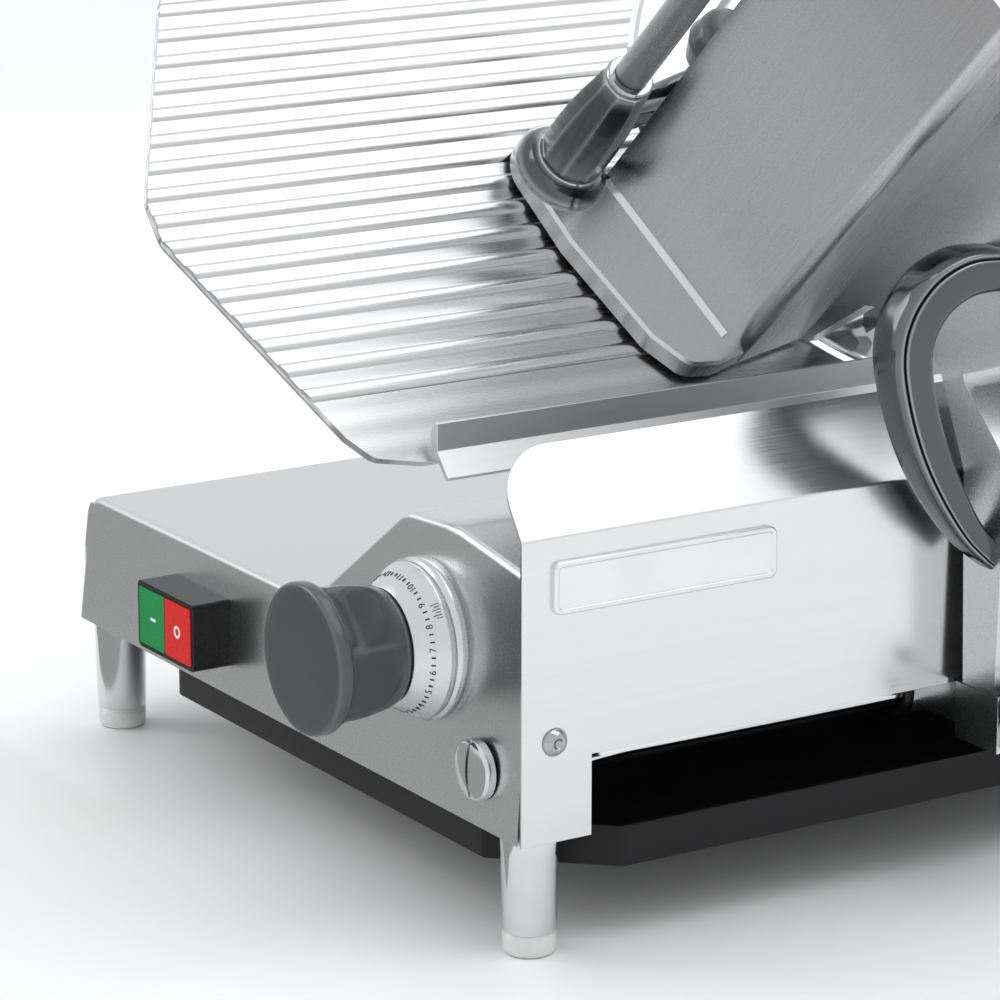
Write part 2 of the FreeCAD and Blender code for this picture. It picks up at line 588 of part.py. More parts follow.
deflector_line = [(2, 396), (-6, 352), (-6, 308), (-22, 268), (-47, 234), (-48.2, 234.9), (-23.4, 268.6),
                  (-7.5, 308.3), (-7.5, 352.2), (0.5, 396.2)]
deflector = blade_bar_y(deflector_line, blade_y - 147, blade_y - 63)
tab_low, tab_high = blade_y - 65, blade_y - 37
tab_line = [(tab_low, 312), (tab_high, 312), (tab_high, 348), (tab_low, 348)]
deflector = deflector.fuse(tilted(plate(tab_line, -7.5, -6, [0, 6, 6, 0])))
parts["slice_deflector"] = deflector.removeSplitter()

# ---------------------------------------------------------------- sharpener
cover_low, cover_high = blade_y - 24, blade_y + 24
sharpener = plate([(cover_low, 480), (cover_high, 480), (cover_high, 497), (cover_low, 497)], -46, 44, 5)
for cheek_y in (blade_y - 24, blade_y + 18):
    sharpener = sharpener.fuse(plate([(cheek_y, 445), (cheek_y + 6, 445), (cheek_y + 6, 484), (cheek_y, 484)], -45, -27))
stone_axis = (blade_y, 457)
hanger_low, hanger_high = blade_y - 11, blade_y + 11
hanger_line = [(hanger_low, 446), (hanger_high, 446), (hanger_high, 484), (hanger_low, 484)]
sharpener = sharpener.fuse(plate(hanger_line, -20, -4, [8, 8, 0, 0]))
sharpener = sharpener.fuse(plate(hanger_line, 36.5, 44, [8, 8, 0, 0]))
sharpener = sharpener.fuse(blade_disc(12, -14, 14, (blade_y, 505)).cut(blade_disc(30, -20, 20, (blade_y, 467))))
sharpener = sharpener.cut(blade_disc(4 + shaft_gap, -30, 60, stone_axis))
pivot_bore = rod((blade_y - 45, pivot_up, pivot_off), (blade_y + 45, pivot_up, pivot_off), 4 + shaft_gap)
sharpener = sharpener.cut(pivot_bore)
parts["sharpener_body"] = tilted(sharpener.removeSplitter())
parts["sharpener_pin"] = tilted(rod((blade_y - 33, pivot_up, pivot_off), (blade_y + 33, pivot_up, pivot_off), 4.0))
grind = blade_disc(4, -27, 4, stone_axis).fuse(blade_disc(7, -31, -24.5, stone_axis)).fuse(blade_disc(6, 3, 5, stone_axis))
grind = grind.fuse(blade_disc(3, 5, 12, stone_axis)).fuse(blade_disc(5, 12, 13.5, stone_axis))
parts["grind_spindle"] = tilted(grind.removeSplitter())
parts["grinding_stone"] = tilted(blade_disc(16, 5.2, 11.8, stone_axis).cut(blade_disc(3 + shaft_gap, 0, 20, stone_axis)))
hone = blade_disc(4, 36, 50, stone_axis).fuse(blade_disc(7, 48.5, 58, stone_axis)).fuse(blade_disc(6, 34, 36, stone_axis))
hone = hone.fuse(blade_disc(3, 29.3, 34, stone_axis)).fuse(blade_disc(5, 28.2, 29.3, stone_axis))
parts["hone_spindle"] = tilted(hone.removeSplitter())
parts["honing_stone"] = tilted(blade_disc(14, 29.5, 33.8, stone_axis).cut(blade_disc(3 + shaft_gap, 20, 40, stone_axis)))

# ---------------------------------------------------------------- cable gland
gland = rod((-380, base_length - 12, 33), (-380, base_length + 8, 33), 8).fuse(
    rod((-380, base_length - 1.5, 33), (-380, base_length + 4, 33), 12).cut(base_block))
parts["cable_gland"] = gland.cut(rod((-380, base_length - 20, 33), (-380, base_length + 20, 33), 4)).removeSplitter()

# ---------------------------------------------------------------- carriage on its bar
block = rod((bar_x, carriage_front, bar_z), (bar_x, carriage_back, bar_z), 13)
block = block.fuse(box(bar_x, 10, 240, 280, 16, 36))
block = block.fuse(box(3, 34, leg_front, leg_back, 12, 38.7))
block = block.fuse(box(-30, -10, 240, 280, 30, 60))
block = block.cut(rod((bar_x, 200, bar_z), (bar_x, 300, bar_z), bar_radius + shaft_gap))
block = block.cut(box(guide_x - guide_half_x - gap, guide_x + guide_half_x + gap, 230, 300,
                      guide_z - guide_half_z - gap, guide_z + guide_half_z + gap))
hinge_x, hinge_z = 41.0, 40.0
for ear_y in (leg_front + 1, leg_back - 10):
    ear = rod((hinge_x, ear_y, hinge_z), (hinge_x, ear_y + 9, hinge_z), 7)
    ear = ear.fuse(bar_y([(33, 14), (41, 20), (48, 39), (36, 39)], ear_y, ear_y + 9))
    block = block.fuse(ear.cut(box(20, 33.9, 200, 300, 38.7, 60)))
block = block.cut(rod((hinge_x, 220, hinge_z), (hinge_x, 300, hinge_z), 3.0))
lock_z = 20.0
block = block.cut(rod((20, 257, lock_z), (40, 257, lock_z), 5 + shaft_gap))
parts["carriage_block"] = block.removeSplitter()
wiper = rod((bar_x, carriage_front - 5, bar_z), (bar_x, carriage_front, bar_z), 13.6)
parts["rod_wiper"] = wiper.cut(rod((bar_x, 200, bar_z), (bar_x, 300, bar_z), bar_radius + shaft_gap))
parts["tilt_pin"] = rod((hinge_x, leg_front - 1, hinge_z), (hinge_x, leg_back + 1, hinge_z), 3.0)
lock = rod((24, 257, lock_z), (46, 257, lock_z), 5).fuse(rod((44, 257, lock_z), (64, 257, lock_z), 12))
for i in range(7):
    angle = math.radians(360 / 7 * i)
    centre = (257 + 15 * math.cos(angle), lock_z + 15 * math.sin(angle))
    lock = lock.cut(rod((43.9, centre[0], centre[1]), (70, centre[0], centre[1]), 4.5))
parts["lock_knob"] = lock.removeSplitter()

# ---------------------------------------------------------------- tray and leg
wall_top = (157.5, 305.0)
tray_corner = (188.2, 203.6)
floor_end = (400.0, 243.2)
floor_slope = math.atan2(floor_end[1] - tray_corner[1], floor_end[0] - tray_corner[0])
wall_slope = math.atan2(wall_top[1] - tray_corner[1], wall_top[0] - tray_corner[0])
floor_normal = (-math.sin(floor_slope), math.cos(floor_slope))
wall_normal = (math.sin(wall_slope), -math.cos(wall_slope))
floor_up = (floor_normal[0] * tray_floor, floor_normal[1] * tray_floor)
wall_in = (wall_normal[0] * tray_wall, wall_normal[1] * tray_wall)
cross = floor_normal[0] * wall_normal[1] - floor_normal[1] * wall_normal[0]
inner_corner = (tray_corner[0] + (tray_floor * wall_normal[1] - tray_wall * floor_normal[1]) / cross,
                tray_corner[1] + (floor_normal[0] * tray_wall - wall_normal[0] * tray_floor) / cross)
tray_section = [wall_top, tray_corner, floor_end, (floor_end[0] + floor_up[0], floor_end[1] + floor_up[1]),
                inner_corner, (wall_top[0] + wall_in[0], wall_top[1] + wall_in[1])]
tray = plate(tray_section, tray_low, tray_high, [0, tray_bend, 0, 0, tray_bend - 4.2, 0])
flange_line = [(111, 338), (125, 274), (146, 219), (160, 201), (176, 200), (192, 204.3), (161, 306), (162, 338)]
foot_flange = plate(flange_line, tray_low, tray_low + 11, [22, 0, 0, 12, 0, 0, 0, 22])
lip_edges = []
for edge in foot_flange.Edges:
    if min(vertex.Point.z for vertex in edge.Vertexes) > tray_low + 10.5:
        lip_edges.append(edge)
foot_flange = foot_flange.makeChamfer(1.5, lip_edges)
tray = tray.fuse(foot_flange)
tray = tray.cut(blade_disc(pusher_rod_radius, tray_low + 3, 60, (rod_y, rod_up)))

above_floor = plate([(100, tray_corner[1] + (100 - tray_corner[0]) * math.tan(floor_slope)), (500, tray_corner[1]
                    + (500 - tray_corner[0]) * math.tan(floor_slope)), (500, 500), (100, 500)], -100, 500)
leg_low = [(8, 39.2), (31, 39.2), (34, 139), (30, 154), (2, 180), (2, 196), (-22, 196), (-14, 180), (4.5, 139)]
leg = bar_y(leg_low, leg_front, leg_back, [0, 0, 20, 12, 10, 0, 0, 16, 10])
web_line = [(-124, 172), (-72, 201), (-36, 204), (-14, 180), (2, 183), (34, 195), (42, 306), (20, 340), (-120, 215)]
for web_y in (leg_front, leg_back - 9):
    leg = leg.fuse(bar_y(web_line, web_y, web_y + 9))
leg = leg.cut(tilted(above_floor))
leg = leg.cut(blade_bar_y([(-50, 100), (tray_low, 100), (tray_low, 400), (-50, 400)], 200, 300))
leg = leg.cut(box(12, 27, leg_front + 8, leg_back + 5, 60, 150))
knuckle = rod((hinge_x, leg_front + 11, hinge_z), (hinge_x, leg_back - 11, hinge_z), 7)
knuckle = knuckle.fuse(box(20, hinge_x, leg_front + 11, leg_back - 11, 40, 47))
leg = leg.fuse(knuckle.cut(box(20, 34.2, 200, 300, 30, 39.2)))
leg = leg.cut(rod((hinge_x, 200, hinge_z), (hinge_x, 300, hinge_z), 3 + shaft_gap))
tray_screw = domed_screw(5.5, 3.0, 2.5, 14.0, 2.0)
tray_screws = []
for screw_y in (leg_front + 4.5, leg_back - 4.5):
    for screw_off in (100, 205):
        along = (screw_y - tray_corner[0]) / math.cos(floor_slope)
        seat_y = screw_y + floor_up[0]
        seat_up = tray_corner[1] + along * math.sin(floor_slope) + floor_up[1]
        tray_screws.append(put(tray_screw, (seat_y, seat_up, screw_off), (floor_up[0], floor_up[1], 0)))
        shank = put(Part.makeCylinder(2.5, 14.0, V(0, 0, -14)), (seat_y, seat_up, screw_off),
                    (floor_up[0], floor_up[1], 0))
        tray = tray.cut(shank)
        leg = leg.cut(tilted(shank))
parts["tray_screws"] = tilted(Part.makeCompound(tray_screws))
parts["carriage_leg"] = leg.removeSplitter()
parts["meat_tray"] = tilted(tray.removeSplitter())

# ---------------------------------------------------------------- handle
grip_x = 22.0
grip_line = [(240, 236), (214, 237), (197, 231), (185, 217), (182, 203), (187, 181), (195, 158), (206, 137),
             (219, 118), (229, 108)]
grip_radii = [11.5, 13.0, 13.8, 14.0, 13.8, 13.0, 12.2, 11.0, 9.0, 7.0]
sections = []
for i in range(len(grip_line)):
    before = grip_line[max(i - 1, 0)]
    after = grip_line[min(i + 1, len(grip_line) - 1)]
    along = V(0, after[0] - before[0], after[1] - before[1])
    circle = Part.makeCircle(grip_radii[i], V(grip_x, grip_line[i][0], grip_line[i][1]), along)
    sections.append(Part.Wire(circle))
handle = Part.makeLoft(sections, True, False)
handle = handle.fuse(rod((grip_x, 212, 214), (grip_x, leg_front + 5, 214), 11))
handle = handle.fuse(Part.makeSphere(11, V(grip_x, 212, 214)))
handle = handle.fuse(rod((grip_x, 226, 107), (grip_x, leg_front + 5, 107), 7))
handle = handle.cut(box(-20, 80, leg_front, 300, 60, 300))
parts["carriage_handle"] = handle.removeSplitter()

# ---------------------------------------------------------------- pusher
flange_top = tray_low + 11.0
rod_centre = (rod_y, rod_up)
cup = turned([(pusher_rod_radius, 0), (23, 0), (22, 5), (17, 12), (pusher_rod_radius, 12)],
             (rod_y, rod_up, flange_top), (0, 0, 1))
parts["rod_socket"] = tilted(cup)
parts["pusher_rod"] = tilted(blade_disc(pusher_rod_radius, tray_low + 3, tray_high - 7, rod_centre).fuse(
    blade_disc(10, tray_high - 11, tray_high - 5, rod_centre)))
bore = blade_disc(pusher_rod_radius + shaft_gap, 40, 300, rod_centre)
hub_start = flange_top + 12.5
sleeve = turned([(5, hub_start), (15.8, hub_start), (15.2, hub_start + 32), (12.8, hub_start + 50),
                 (11.6, hub_start + hub_length), (5, hub_start + hub_length)], (rod_y, rod_up, 0), (0, 0, 1))
arm_angle = 15.0
arm_turn = FreeCAD.Rotation(V(0, 0, 1), arm_angle)
arm_top = hub_start + 29
pusher_arm = plate([(0, -7), (70, -7), (100, -30), (112, -20), (82, 9), (0, 9)], hub_start + 15, arm_top,
                   [0, 20, 6, 6, 20, 0])
pusher_arm = pusher_arm.fuse(plate([(0, -7), (36, -7), (36, 9), (0, 9)], hub_start + 9, hub_start + 33, [0, 5, 5, 0]))
pusher_arm.Placement = FreeCAD.Placement(V(rod_y, rod_up, 0), arm_turn)
pusher_foot = plate([(190, 300), (262, 300), (262, 338), (190, 338)], hub_start + 13.5, hub_start + 18, 10)
parts["pusher_hub"] = tilted(sleeve.fuse(pusher_arm).fuse(pusher_foot).cut(bore).removeSplitter())
collar_start = hub_start + hub_length + 0.3
parts["pusher_collar"] = tilted(blade_disc(11.8, collar_start, collar_start + 4, rod_centre).cut(bore))
press_low = hub_start + 9.5
press_line = [(182, 345), (201, 226), (330, 249), (322, 345)]
press = plate(press_line, press_low, press_low + 4, [14, 12, 12, 14])
for row in range(5):
    for column in range(7):
        tooth_y = 208 + column * 17 + (row % 2) * 6
        tooth_up = 252 + row * 18
        press = press.fuse(cone((tooth_y, tooth_up, press_low + 0.5), (tooth_y, tooth_up, press_low - 4), 2.6, 0.6))
parts["pusher_plate"] = tilted(press.removeSplitter())
knob_reach = 66.0
knob_y = rod_y + knob_reach * math.cos(math.radians(arm_angle))
knob_up = rod_up + knob_reach * math.sin(math.radians(arm_angle))
press_knob = turned([(0, 0), (7, 0), (7, 6), (13, 14), (17, 26), (15, 36), (9, 41), (0, 42)],
                    (knob_y, knob_up, arm_top), (0, 0, 1))
parts["pusher_knob"] = tilted(press_knob)

# ---------------------------------------------------------------- finish the casting and write
parts["base_casting"] = casting.removeSplitter()
whole = Part.makeCompound(list(parts.values())).BoundBox
shift = V(-(whole.XMin + whole.XMax) / 2, -(whole.YMin + whole.YMax) / 2, foot_height)
for name in sorted(parts):
    shape = parts[name]
    shape.translate(shift)
    if not shape.isValid():
        print("not valid:", name)
    shape.exportStep("parts/" + name + ".step")
print("pieces", len(parts), "shift", shift, "size", whole.XLength, whole.YLength, whole.ZLength)
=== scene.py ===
import json
import math

import bmesh
import bpy
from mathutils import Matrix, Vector


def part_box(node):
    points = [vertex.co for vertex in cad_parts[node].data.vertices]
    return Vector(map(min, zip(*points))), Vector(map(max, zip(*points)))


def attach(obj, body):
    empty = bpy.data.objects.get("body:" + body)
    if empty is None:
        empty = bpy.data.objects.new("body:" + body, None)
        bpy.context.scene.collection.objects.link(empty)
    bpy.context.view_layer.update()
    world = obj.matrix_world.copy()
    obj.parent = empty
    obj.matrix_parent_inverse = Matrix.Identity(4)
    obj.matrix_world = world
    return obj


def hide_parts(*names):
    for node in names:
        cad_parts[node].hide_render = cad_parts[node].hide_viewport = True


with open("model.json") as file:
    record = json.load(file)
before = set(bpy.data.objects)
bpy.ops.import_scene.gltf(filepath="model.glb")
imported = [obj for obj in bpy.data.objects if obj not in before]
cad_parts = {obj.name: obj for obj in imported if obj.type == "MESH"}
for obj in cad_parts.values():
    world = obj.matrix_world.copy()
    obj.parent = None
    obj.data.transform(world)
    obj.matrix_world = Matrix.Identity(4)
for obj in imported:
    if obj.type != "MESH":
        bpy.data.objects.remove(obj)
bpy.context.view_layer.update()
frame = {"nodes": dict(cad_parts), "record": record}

# Looks of the gravity-feed slicer.  Lengths in the helpers are millimetres in machine axes:
# X = 0 on the outer face of the side panel, Y = 0 on its front edge, Z = 0 on its lower edge.
# The blade axes are Y, "up" the tilted gauge plate and "off" square to it.
MM = 0.001
TILT = math.radians(42.0)
panel_low, panel_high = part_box("side_panel")
ORIGIN = Vector((panel_high.x, panel_low.y, panel_low.z))
ALONG = Vector((0, 1, 0))
UP_BLADE = Vector((-math.sin(TILT), 0, math.cos(TILT)))
SQUARE = Vector((math.cos(TILT), 0, math.sin(TILT)))


def place(x, y, z):
    """Machine axes in millimetres to the model frame in metres."""
    return ORIGIN + Vector((x, y, z)) * MM


def blade_place(y, up, off):
    """Blade axes in millimetres to the model frame in metres."""
    return ORIGIN + (ALONG * y + UP_BLADE * up + SQUARE * off) * MM


# ------------------------------------------------------------------ camera, lights, floor
SENSOR_WIDTH = 36.0
LENS = 162.17
FAR_CLIP = 50.0
CAMERA_PLACE = (1564.5, -992.3, 653.3)
CAMERA_DIP = 14.988
CAMERA_TURN = 57.903
SKY = (0.98, 0.99, 1.0, 1)
SKY_STRENGTH = 0.95
FLOOR_HALF = 9

scene = bpy.context.scene
scene.view_settings.view_transform = "Standard"
scene.view_settings.look = "None"

camera_data = bpy.data.cameras.new("camera")
camera_data.sensor_width = SENSOR_WIDTH
camera_data.lens = LENS
camera_data.clip_end = FAR_CLIP
camera = bpy.data.objects.new("camera", camera_data)
scene.collection.objects.link(camera)
camera.location = place(*CAMERA_PLACE)
camera.rotation_euler = (math.radians(90 - CAMERA_DIP), 0, math.radians(CAMERA_TURN))
scene.camera = camera

world = bpy.data.worlds.new("studio")
scene.world = world
world.use_nodes = True
sky = world.node_tree.nodes["Background"]
sky.inputs["Color"].default_value = SKY
sky.inputs["Strength"].default_value = SKY_STRENGTH


def area_light(name, position, target, width, height, power):
    """Rectangular soft light that faces its target; metres and watts."""
    data = bpy.data.lights.new(name, "AREA")
    data.shape = "RECTANGLE"
    data.size = width
    data.size_y = height
    data.energy = power
    lamp = bpy.data.objects.new(name, data)
    scene.collection.objects.link(lamp)
    lamp.location = position
    lamp.rotation_euler = (Vector(target) - Vector(position)).to_track_quat("-Z", "Y").to_euler()


area_light("overhead", (0.5, 0.8, 2.3), (0.1, 0.1, 0.1), 2.6, 2.2, 20.5)
area_light("front_left", (-1.7, -1.9, 1.5), (0, 0, 0.15), 1.2, 1.6, 14)

floor_mesh = bpy.data.meshes.new("floor")
floor_corners = [(x * FLOOR_HALF, y * FLOOR_HALF, 0) for x, y in ((-1, -1), (1, -1), (1, 1), (-1, 1))]
floor_mesh.from_pydata(floor_corners, [], [(0, 1, 2, 3)])
floor = bpy.data.objects.new("floor", floor_mesh)
scene.collection.objects.link(floor)


def reflection_card(name, low, high, height, brightness):
    """Grey studio card, flat above the floor, that only mirror-like surfaces see."""
    mesh = bpy.data.meshes.new(name)
    plan = [(low[0], low[1]), (high[0], low[1]), (high[0], high[1]), (low[0], high[1])]
    corners = [(x, y, height) for x, y in plan]
    mesh.from_pydata(corners, [], [(0, 1, 2, 3)])
    card = bpy.data.objects.new(name, mesh)
    scene.collection.objects.link(card)
    material = bpy.data.materials.new(name)
    material.use_nodes = True
    tree = material.node_tree
    tree.nodes.clear()
    glow = tree.nodes.new("ShaderNodeEmission")
    glow.inputs["Color"].default_value = (brightness, brightness, brightness, 1)
    end = tree.nodes.new("ShaderNodeOutputMaterial")
    tree.links.new(glow.outputs["Emission"], end.inputs["Surface"])
    mesh.materials.append(material)
    for kind in ("camera", "diffuse", "shadow", "transmission", "volume_scatter"):
        setattr(card, "visible_" + kind, False)


reflection_card("card_front", (-2.4, -2.2), (0.1, -0.27), 0.003, 0.42)


# ------------------------------------------------------------------ material building
class Recipe:
    """A node material with one Principled shader, built step by step."""

    def __init__(self, name, colour, metallic=0.0, roughness=0.5):
        self.material = bpy.data.materials.new(name)
        self.material.use_nodes = True
        self.tree = self.material.node_tree
        self.shader = self.tree.nodes["Principled BSDF"]
        self.colour = tuple(colour)
        self.shader.inputs["Base Color"].default_value = (*colour, 1)
        self.shader.inputs["Metallic"].default_value = metallic
        self.shader.inputs["Roughness"].default_value = roughness
        self.last_colour = None

    def node(self, kind, **values):
        """New node with the given settings."""
        made = self.tree.nodes.new(kind)
        for key, value in values.items():
            setattr(made, key, value)
        return made

    def link(self, output, entry):
        self.tree.links.new(output, entry)

    def set(self, socket, value):
        """Fixed value on the shader's own socket."""
        self.shader.inputs[socket].default_value = value
        return self

    def coords(self, stretch=(1, 1, 1), turn=(0, 0, 0)):
        """Object coordinates, turned, then stretched."""
        source = self.node("ShaderNodeTexCoord")
        turned = self.node("ShaderNodeMapping", vector_type="POINT")
        turned.inputs["Rotation"].default_value = turn
        scaled = self.node("ShaderNodeMapping", vector_type="POINT")
        scaled.inputs["Scale"].default_value = stretch
        self.link(source.outputs["Object"], turned.inputs["Vector"])
        self.link(turned.outputs["Vector"], scaled.inputs["Vector"])
        return scaled.outputs["Vector"]

    def noise(self, vector, scale, detail=3.0, rough=0.55):
        """Noise value from 0 to 1; the scale is in cells per metre."""
        made = self.node("ShaderNodeTexNoise")
        made.inputs["Scale"].default_value = scale
        made.inputs["Detail"].default_value = detail
        made.inputs["Roughness"].default_value = rough
        self.link(vector, made.inputs["Vector"])
        return made.outputs["Fac"]

    def spread(self, value, low, high, from_low=0.3, from_high=0.7):
        """Map a noise value to a range."""
        made = self.node("ShaderNodeMapRange")
        made.inputs["From Min"].default_value = from_low
        made.inputs["From Max"].default_value = from_high
        made.inputs["To Min"].default_value = low
        made.inputs["To Max"].default_value = high
        self.link(value, made.inputs["Value"])
        return made.outputs["Result"]

    def add(self, first, second, operation="ADD"):
        """Sum, or another operation, of two values that are numbers or outputs."""
        made = self.node("ShaderNodeMath", operation=operation)
        for slot_index, value in enumerate((first, second)):
            if isinstance(value, (int, float)):
                made.inputs[slot_index].default_value = value
            else:
                self.link(value, made.inputs[slot_index])
        return made.outputs["Value"]

    def tint(self, value, low, high):
        """Base colour between two multiples of the material's colour."""
        ramp = self.node("ShaderNodeValToRGB")
        for stop, position, factor in zip(ramp.color_ramp.elements, (0.3, 0.7), (low, high)):
            stop.position = position
            stop.color = (*[min(part * factor, 1) for part in self.colour], 1)
        self.link(value, ramp.inputs["Fac"])
        self.link(ramp.outputs["Color"], self.shader.inputs["Base Color"])
        self.last_colour = ramp.outputs["Color"]

    def darken(self, colour, value):
        """Base colour made darker where the value is below 1."""
        shade = self.node("ShaderNodeMix", data_type="RGBA", blend_type="MULTIPLY")
        shade.inputs["Factor"].default_value = 1.0
        self.link(colour, shade.inputs["A"])
        self.link(value, shade.inputs["B"])
        self.link(shade.outputs["Result"], self.shader.inputs["Base Color"])

    def wear(self, colour, amount):
        """Painted highlight: lighter colour on outward edges; painted shade: darker colour in the hollows."""
        shape = self.node("ShaderNodeNewGeometry")
        highlight_share = self.spread(shape.outputs["Pointiness"], 0.0, amount, 0.505, 0.56)
        mixed = self.node("ShaderNodeMix", data_type="RGBA")
        self.link(highlight_share, mixed.inputs["Factor"])
        self.link(self.last_colour, mixed.inputs["A"])
        mixed.inputs["B"].default_value = (*colour, 1)
        # painted shade: the colour is darker in hollows
        self.darken(mixed.outputs["Result"], self.spread(shape.outputs["Pointiness"], 0.45, 1.0, 0.42, 0.495))
        return self

    def roughness(self, value):
        self.link(value, self.shader.inputs["Roughness"])

    def bump(self, value, strength, distance):
        """Fine relief; the distance is in metres."""
        made = self.node("ShaderNodeBump")
        made.inputs["Strength"].default_value = strength
        made.inputs["Distance"].default_value = distance
        self.link(value, made.inputs["Height"])
        self.link(made.outputs["Normal"], self.shader.inputs["Normal"])


def brushed(name, colour, rough, direction, turn=(0, 0, 0), depth=0.03, contrast=0.035):
    """Metal with fine parallel scratches that run along one axis (0, 1 or 2)."""
    recipe = Recipe(name, colour, 1.0, rough)
    fine = [1.0, 1.0, 1.0]
    fine[direction] = 0.006
    streaks = recipe.noise(recipe.coords(fine, turn), 2600, 3, 0.6)
    broad = [1.0, 1.0, 1.0]
    broad[direction] = 0.02
    bands = recipe.noise(recipe.coords(broad, turn), 260, 2)
    clouds = recipe.noise(recipe.coords((1, 1, 1), turn), 6, 2)
    sharp = recipe.spread(streaks, rough - contrast, rough + contrast)
    recipe.roughness(recipe.add(sharp, recipe.spread(clouds, -0.02, 0.02)))
    recipe.tint(recipe.add(recipe.add(streaks, bands), 0.5, "MULTIPLY"), 0.97, 1.02)
    recipe.bump(streaks, depth, 0.00002)
    return recipe


def satin_cast(name, colour, rough, grain):
    """Bead-blasted and anodised light alloy."""
    recipe = Recipe(name, colour, 1.0, rough)
    vector = recipe.coords()
    grit = recipe.noise(vector, 2600, 3, 0.6)
    clouds = recipe.noise(vector, 5, 3)
    fine = recipe.spread(grit, rough - 0.02, rough + 0.02)
    recipe.roughness(recipe.add(fine, recipe.spread(clouds, -0.01, 0.01)))
    recipe.tint(recipe.add(recipe.add(grit, clouds), 0.5, "MULTIPLY"), 0.98, 1.01)
    recipe.bump(grit, grain, 0.00002)
    return recipe


def plain_metal(name, colour, rough):
    """Polished metal with faint handling marks."""
    recipe = Recipe(name, colour, 1.0, rough)
    vector = recipe.coords()
    marks = recipe.noise(vector, 900, 5, 0.75)
    clouds = recipe.noise(vector, 25, 2)
    fine = recipe.spread(marks, rough - 0.02, rough + 0.03)
    recipe.roughness(recipe.add(fine, recipe.spread(clouds, -0.01, 0.02)))
    recipe.tint(clouds, 0.96, 1.03)
    recipe.bump(marks, 0.02, 0.00001)
    return recipe


def moulded(name, colour, rough, grain_scale=1800, grain=0.1):
    """Moulded plastic or paint with a fine texture."""
    recipe = Recipe(name, colour, 0.0, rough)
    vector = recipe.coords()
    grit = recipe.noise(vector, grain_scale, 3, 0.6)
    clouds = recipe.noise(vector, 18, 3)
    fine = recipe.spread(grit, rough - 0.05, rough + 0.05)
    recipe.roughness(recipe.add(fine, recipe.spread(clouds, -0.04, 0.04)))
    recipe.tint(recipe.add(recipe.add(grit, clouds), 0.5, "MULTIPLY"), 0.88, 1.15)
    recipe.bump(grit, grain, 0.00003)
    return recipe


BLADE_TURN = (0, TILT, 0)
MATERIALS = {
    "cast_aluminium": satin_cast("cast_aluminium", (0.64, 0.645, 0.65), 0.27, 0.015).material,
    "steel_sheet": brushed("steel_sheet", (0.74, 0.74, 0.745), 0.22, 1).material,
    "polished_aluminium": brushed("polished_aluminium", (0.78, 0.78, 0.785), 0.27, 1, BLADE_TURN).material,
    "bright_steel": plain_metal("bright_steel", (0.78, 0.79, 0.80), 0.06).material,
    "ground_steel": brushed("ground_steel", (0.52, 0.53, 0.54), 0.28, 1).material,
    "black_pan": moulded("black_pan", (0.010, 0.010, 0.011), 0.4, 900, 0.25)
    .set("Specular IOR Level", 0.2).material,
    "black_plastic": moulded("black_plastic", (0.006, 0.006, 0.007), 0.3)
    .set("Specular IOR Level", 0.3).material,
    # grey_plastic carries painted highlights on outward edges and painted shade in hollows
    "grey_plastic": moulded("grey_plastic", (0.048, 0.050, 0.054), 0.2, 2200, 0.02)
    .wear((0.2, 0.205, 0.21), 0.6).material,
    "green_plastic": moulded("green_plastic", (0.0, 0.24, 0.055), 0.28, 2500, 0.04)
    .set("Specular IOR Level", 0.25).material,
    "red_plastic": moulded("red_plastic", (0.62, 0.006, 0.006), 0.28, 2500, 0.04)
    .set("Specular IOR Level", 0.25).material,
    "clear_rubber": moulded("clear_rubber", (0.90, 0.91, 0.90), 0.14, 1500, 0.04)
    .set("Transmission Weight", 0.3).material,
    "belt_rubber": moulded("belt_rubber", (0.02, 0.02, 0.02), 0.7).material,
    "blade_steel": plain_metal("blade_steel", (0.70, 0.71, 0.73), 0.14).material,
    "stone": moulded("stone", (0.30, 0.27, 0.24), 0.9, 700, 1.0).material,
    "motor_paint": moulded("motor_paint", (0.05, 0.055, 0.06), 0.35, 900, 0.2).material,
    "brass": plain_metal("brass", (0.72, 0.50, 0.20), 0.2).material,
}
tray_satin = brushed("tray_satin", (0.62, 0.62, 0.63), 0.28, 0, BLADE_TURN, 0.02, 0.04).material
# dark_cast carries painted highlights on outward edges and painted shade in hollows
dark_cast = plain_metal("dark_cast", (0.105, 0.11, 0.118), 0.13).wear((0.55, 0.56, 0.57), 0.8).material
post_polish = plain_metal("post_polish", (0.66, 0.665, 0.67), 0.12).material
screw_steel = plain_metal("screw_steel", (0.42, 0.43, 0.44), 0.08).material
rail_satin = brushed("rail_satin", (0.82, 0.82, 0.825), 0.42, 1).material
rod_satin = plain_metal("rod_satin", (0.50, 0.505, 0.52), 0.27).material


RIB_START = 221.0
RIB_PITCH = 13.8


def ribbed_plate():
    """Gauge plate finish with painted shade: the colour is a little darker between the ribs than over them."""
    recipe = brushed("ribbed_plate", (0.655, 0.655, 0.66), 0.27, 1, BLADE_TURN)
    parts = recipe.node("ShaderNodeSeparateXYZ")
    recipe.link(recipe.coords((1, 1, 1), BLADE_TURN), parts.inputs["Vector"])
    lift = recipe.add(parts.outputs["Z"], UP_BLADE.dot(ORIGIN) + RIB_START * MM, "SUBTRACT")
    rib_shade_wave = recipe.add(recipe.add(lift, 2 * math.pi / (RIB_PITCH * MM), "MULTIPLY"), 0, "COSINE")
    # painted shade between the ribs
    recipe.darken(recipe.last_colour, recipe.spread(rib_shade_wave, 0.80, 1.0, -0.9, 0.9))
    return recipe.material


white_mark = moulded("white_mark", (0.85, 0.85, 0.84), 0.4).material
black_mark = moulded("black_mark", (0.02, 0.02, 0.022), 0.5).material
floor_recipe = Recipe("floor", (0.92, 0.92, 0.922), 0.0, 0.5)
floor_recipe.tint(floor_recipe.noise(floor_recipe.coords(), 2, 2), 0.99, 1.01)
floor.data.materials.append(floor_recipe.material)

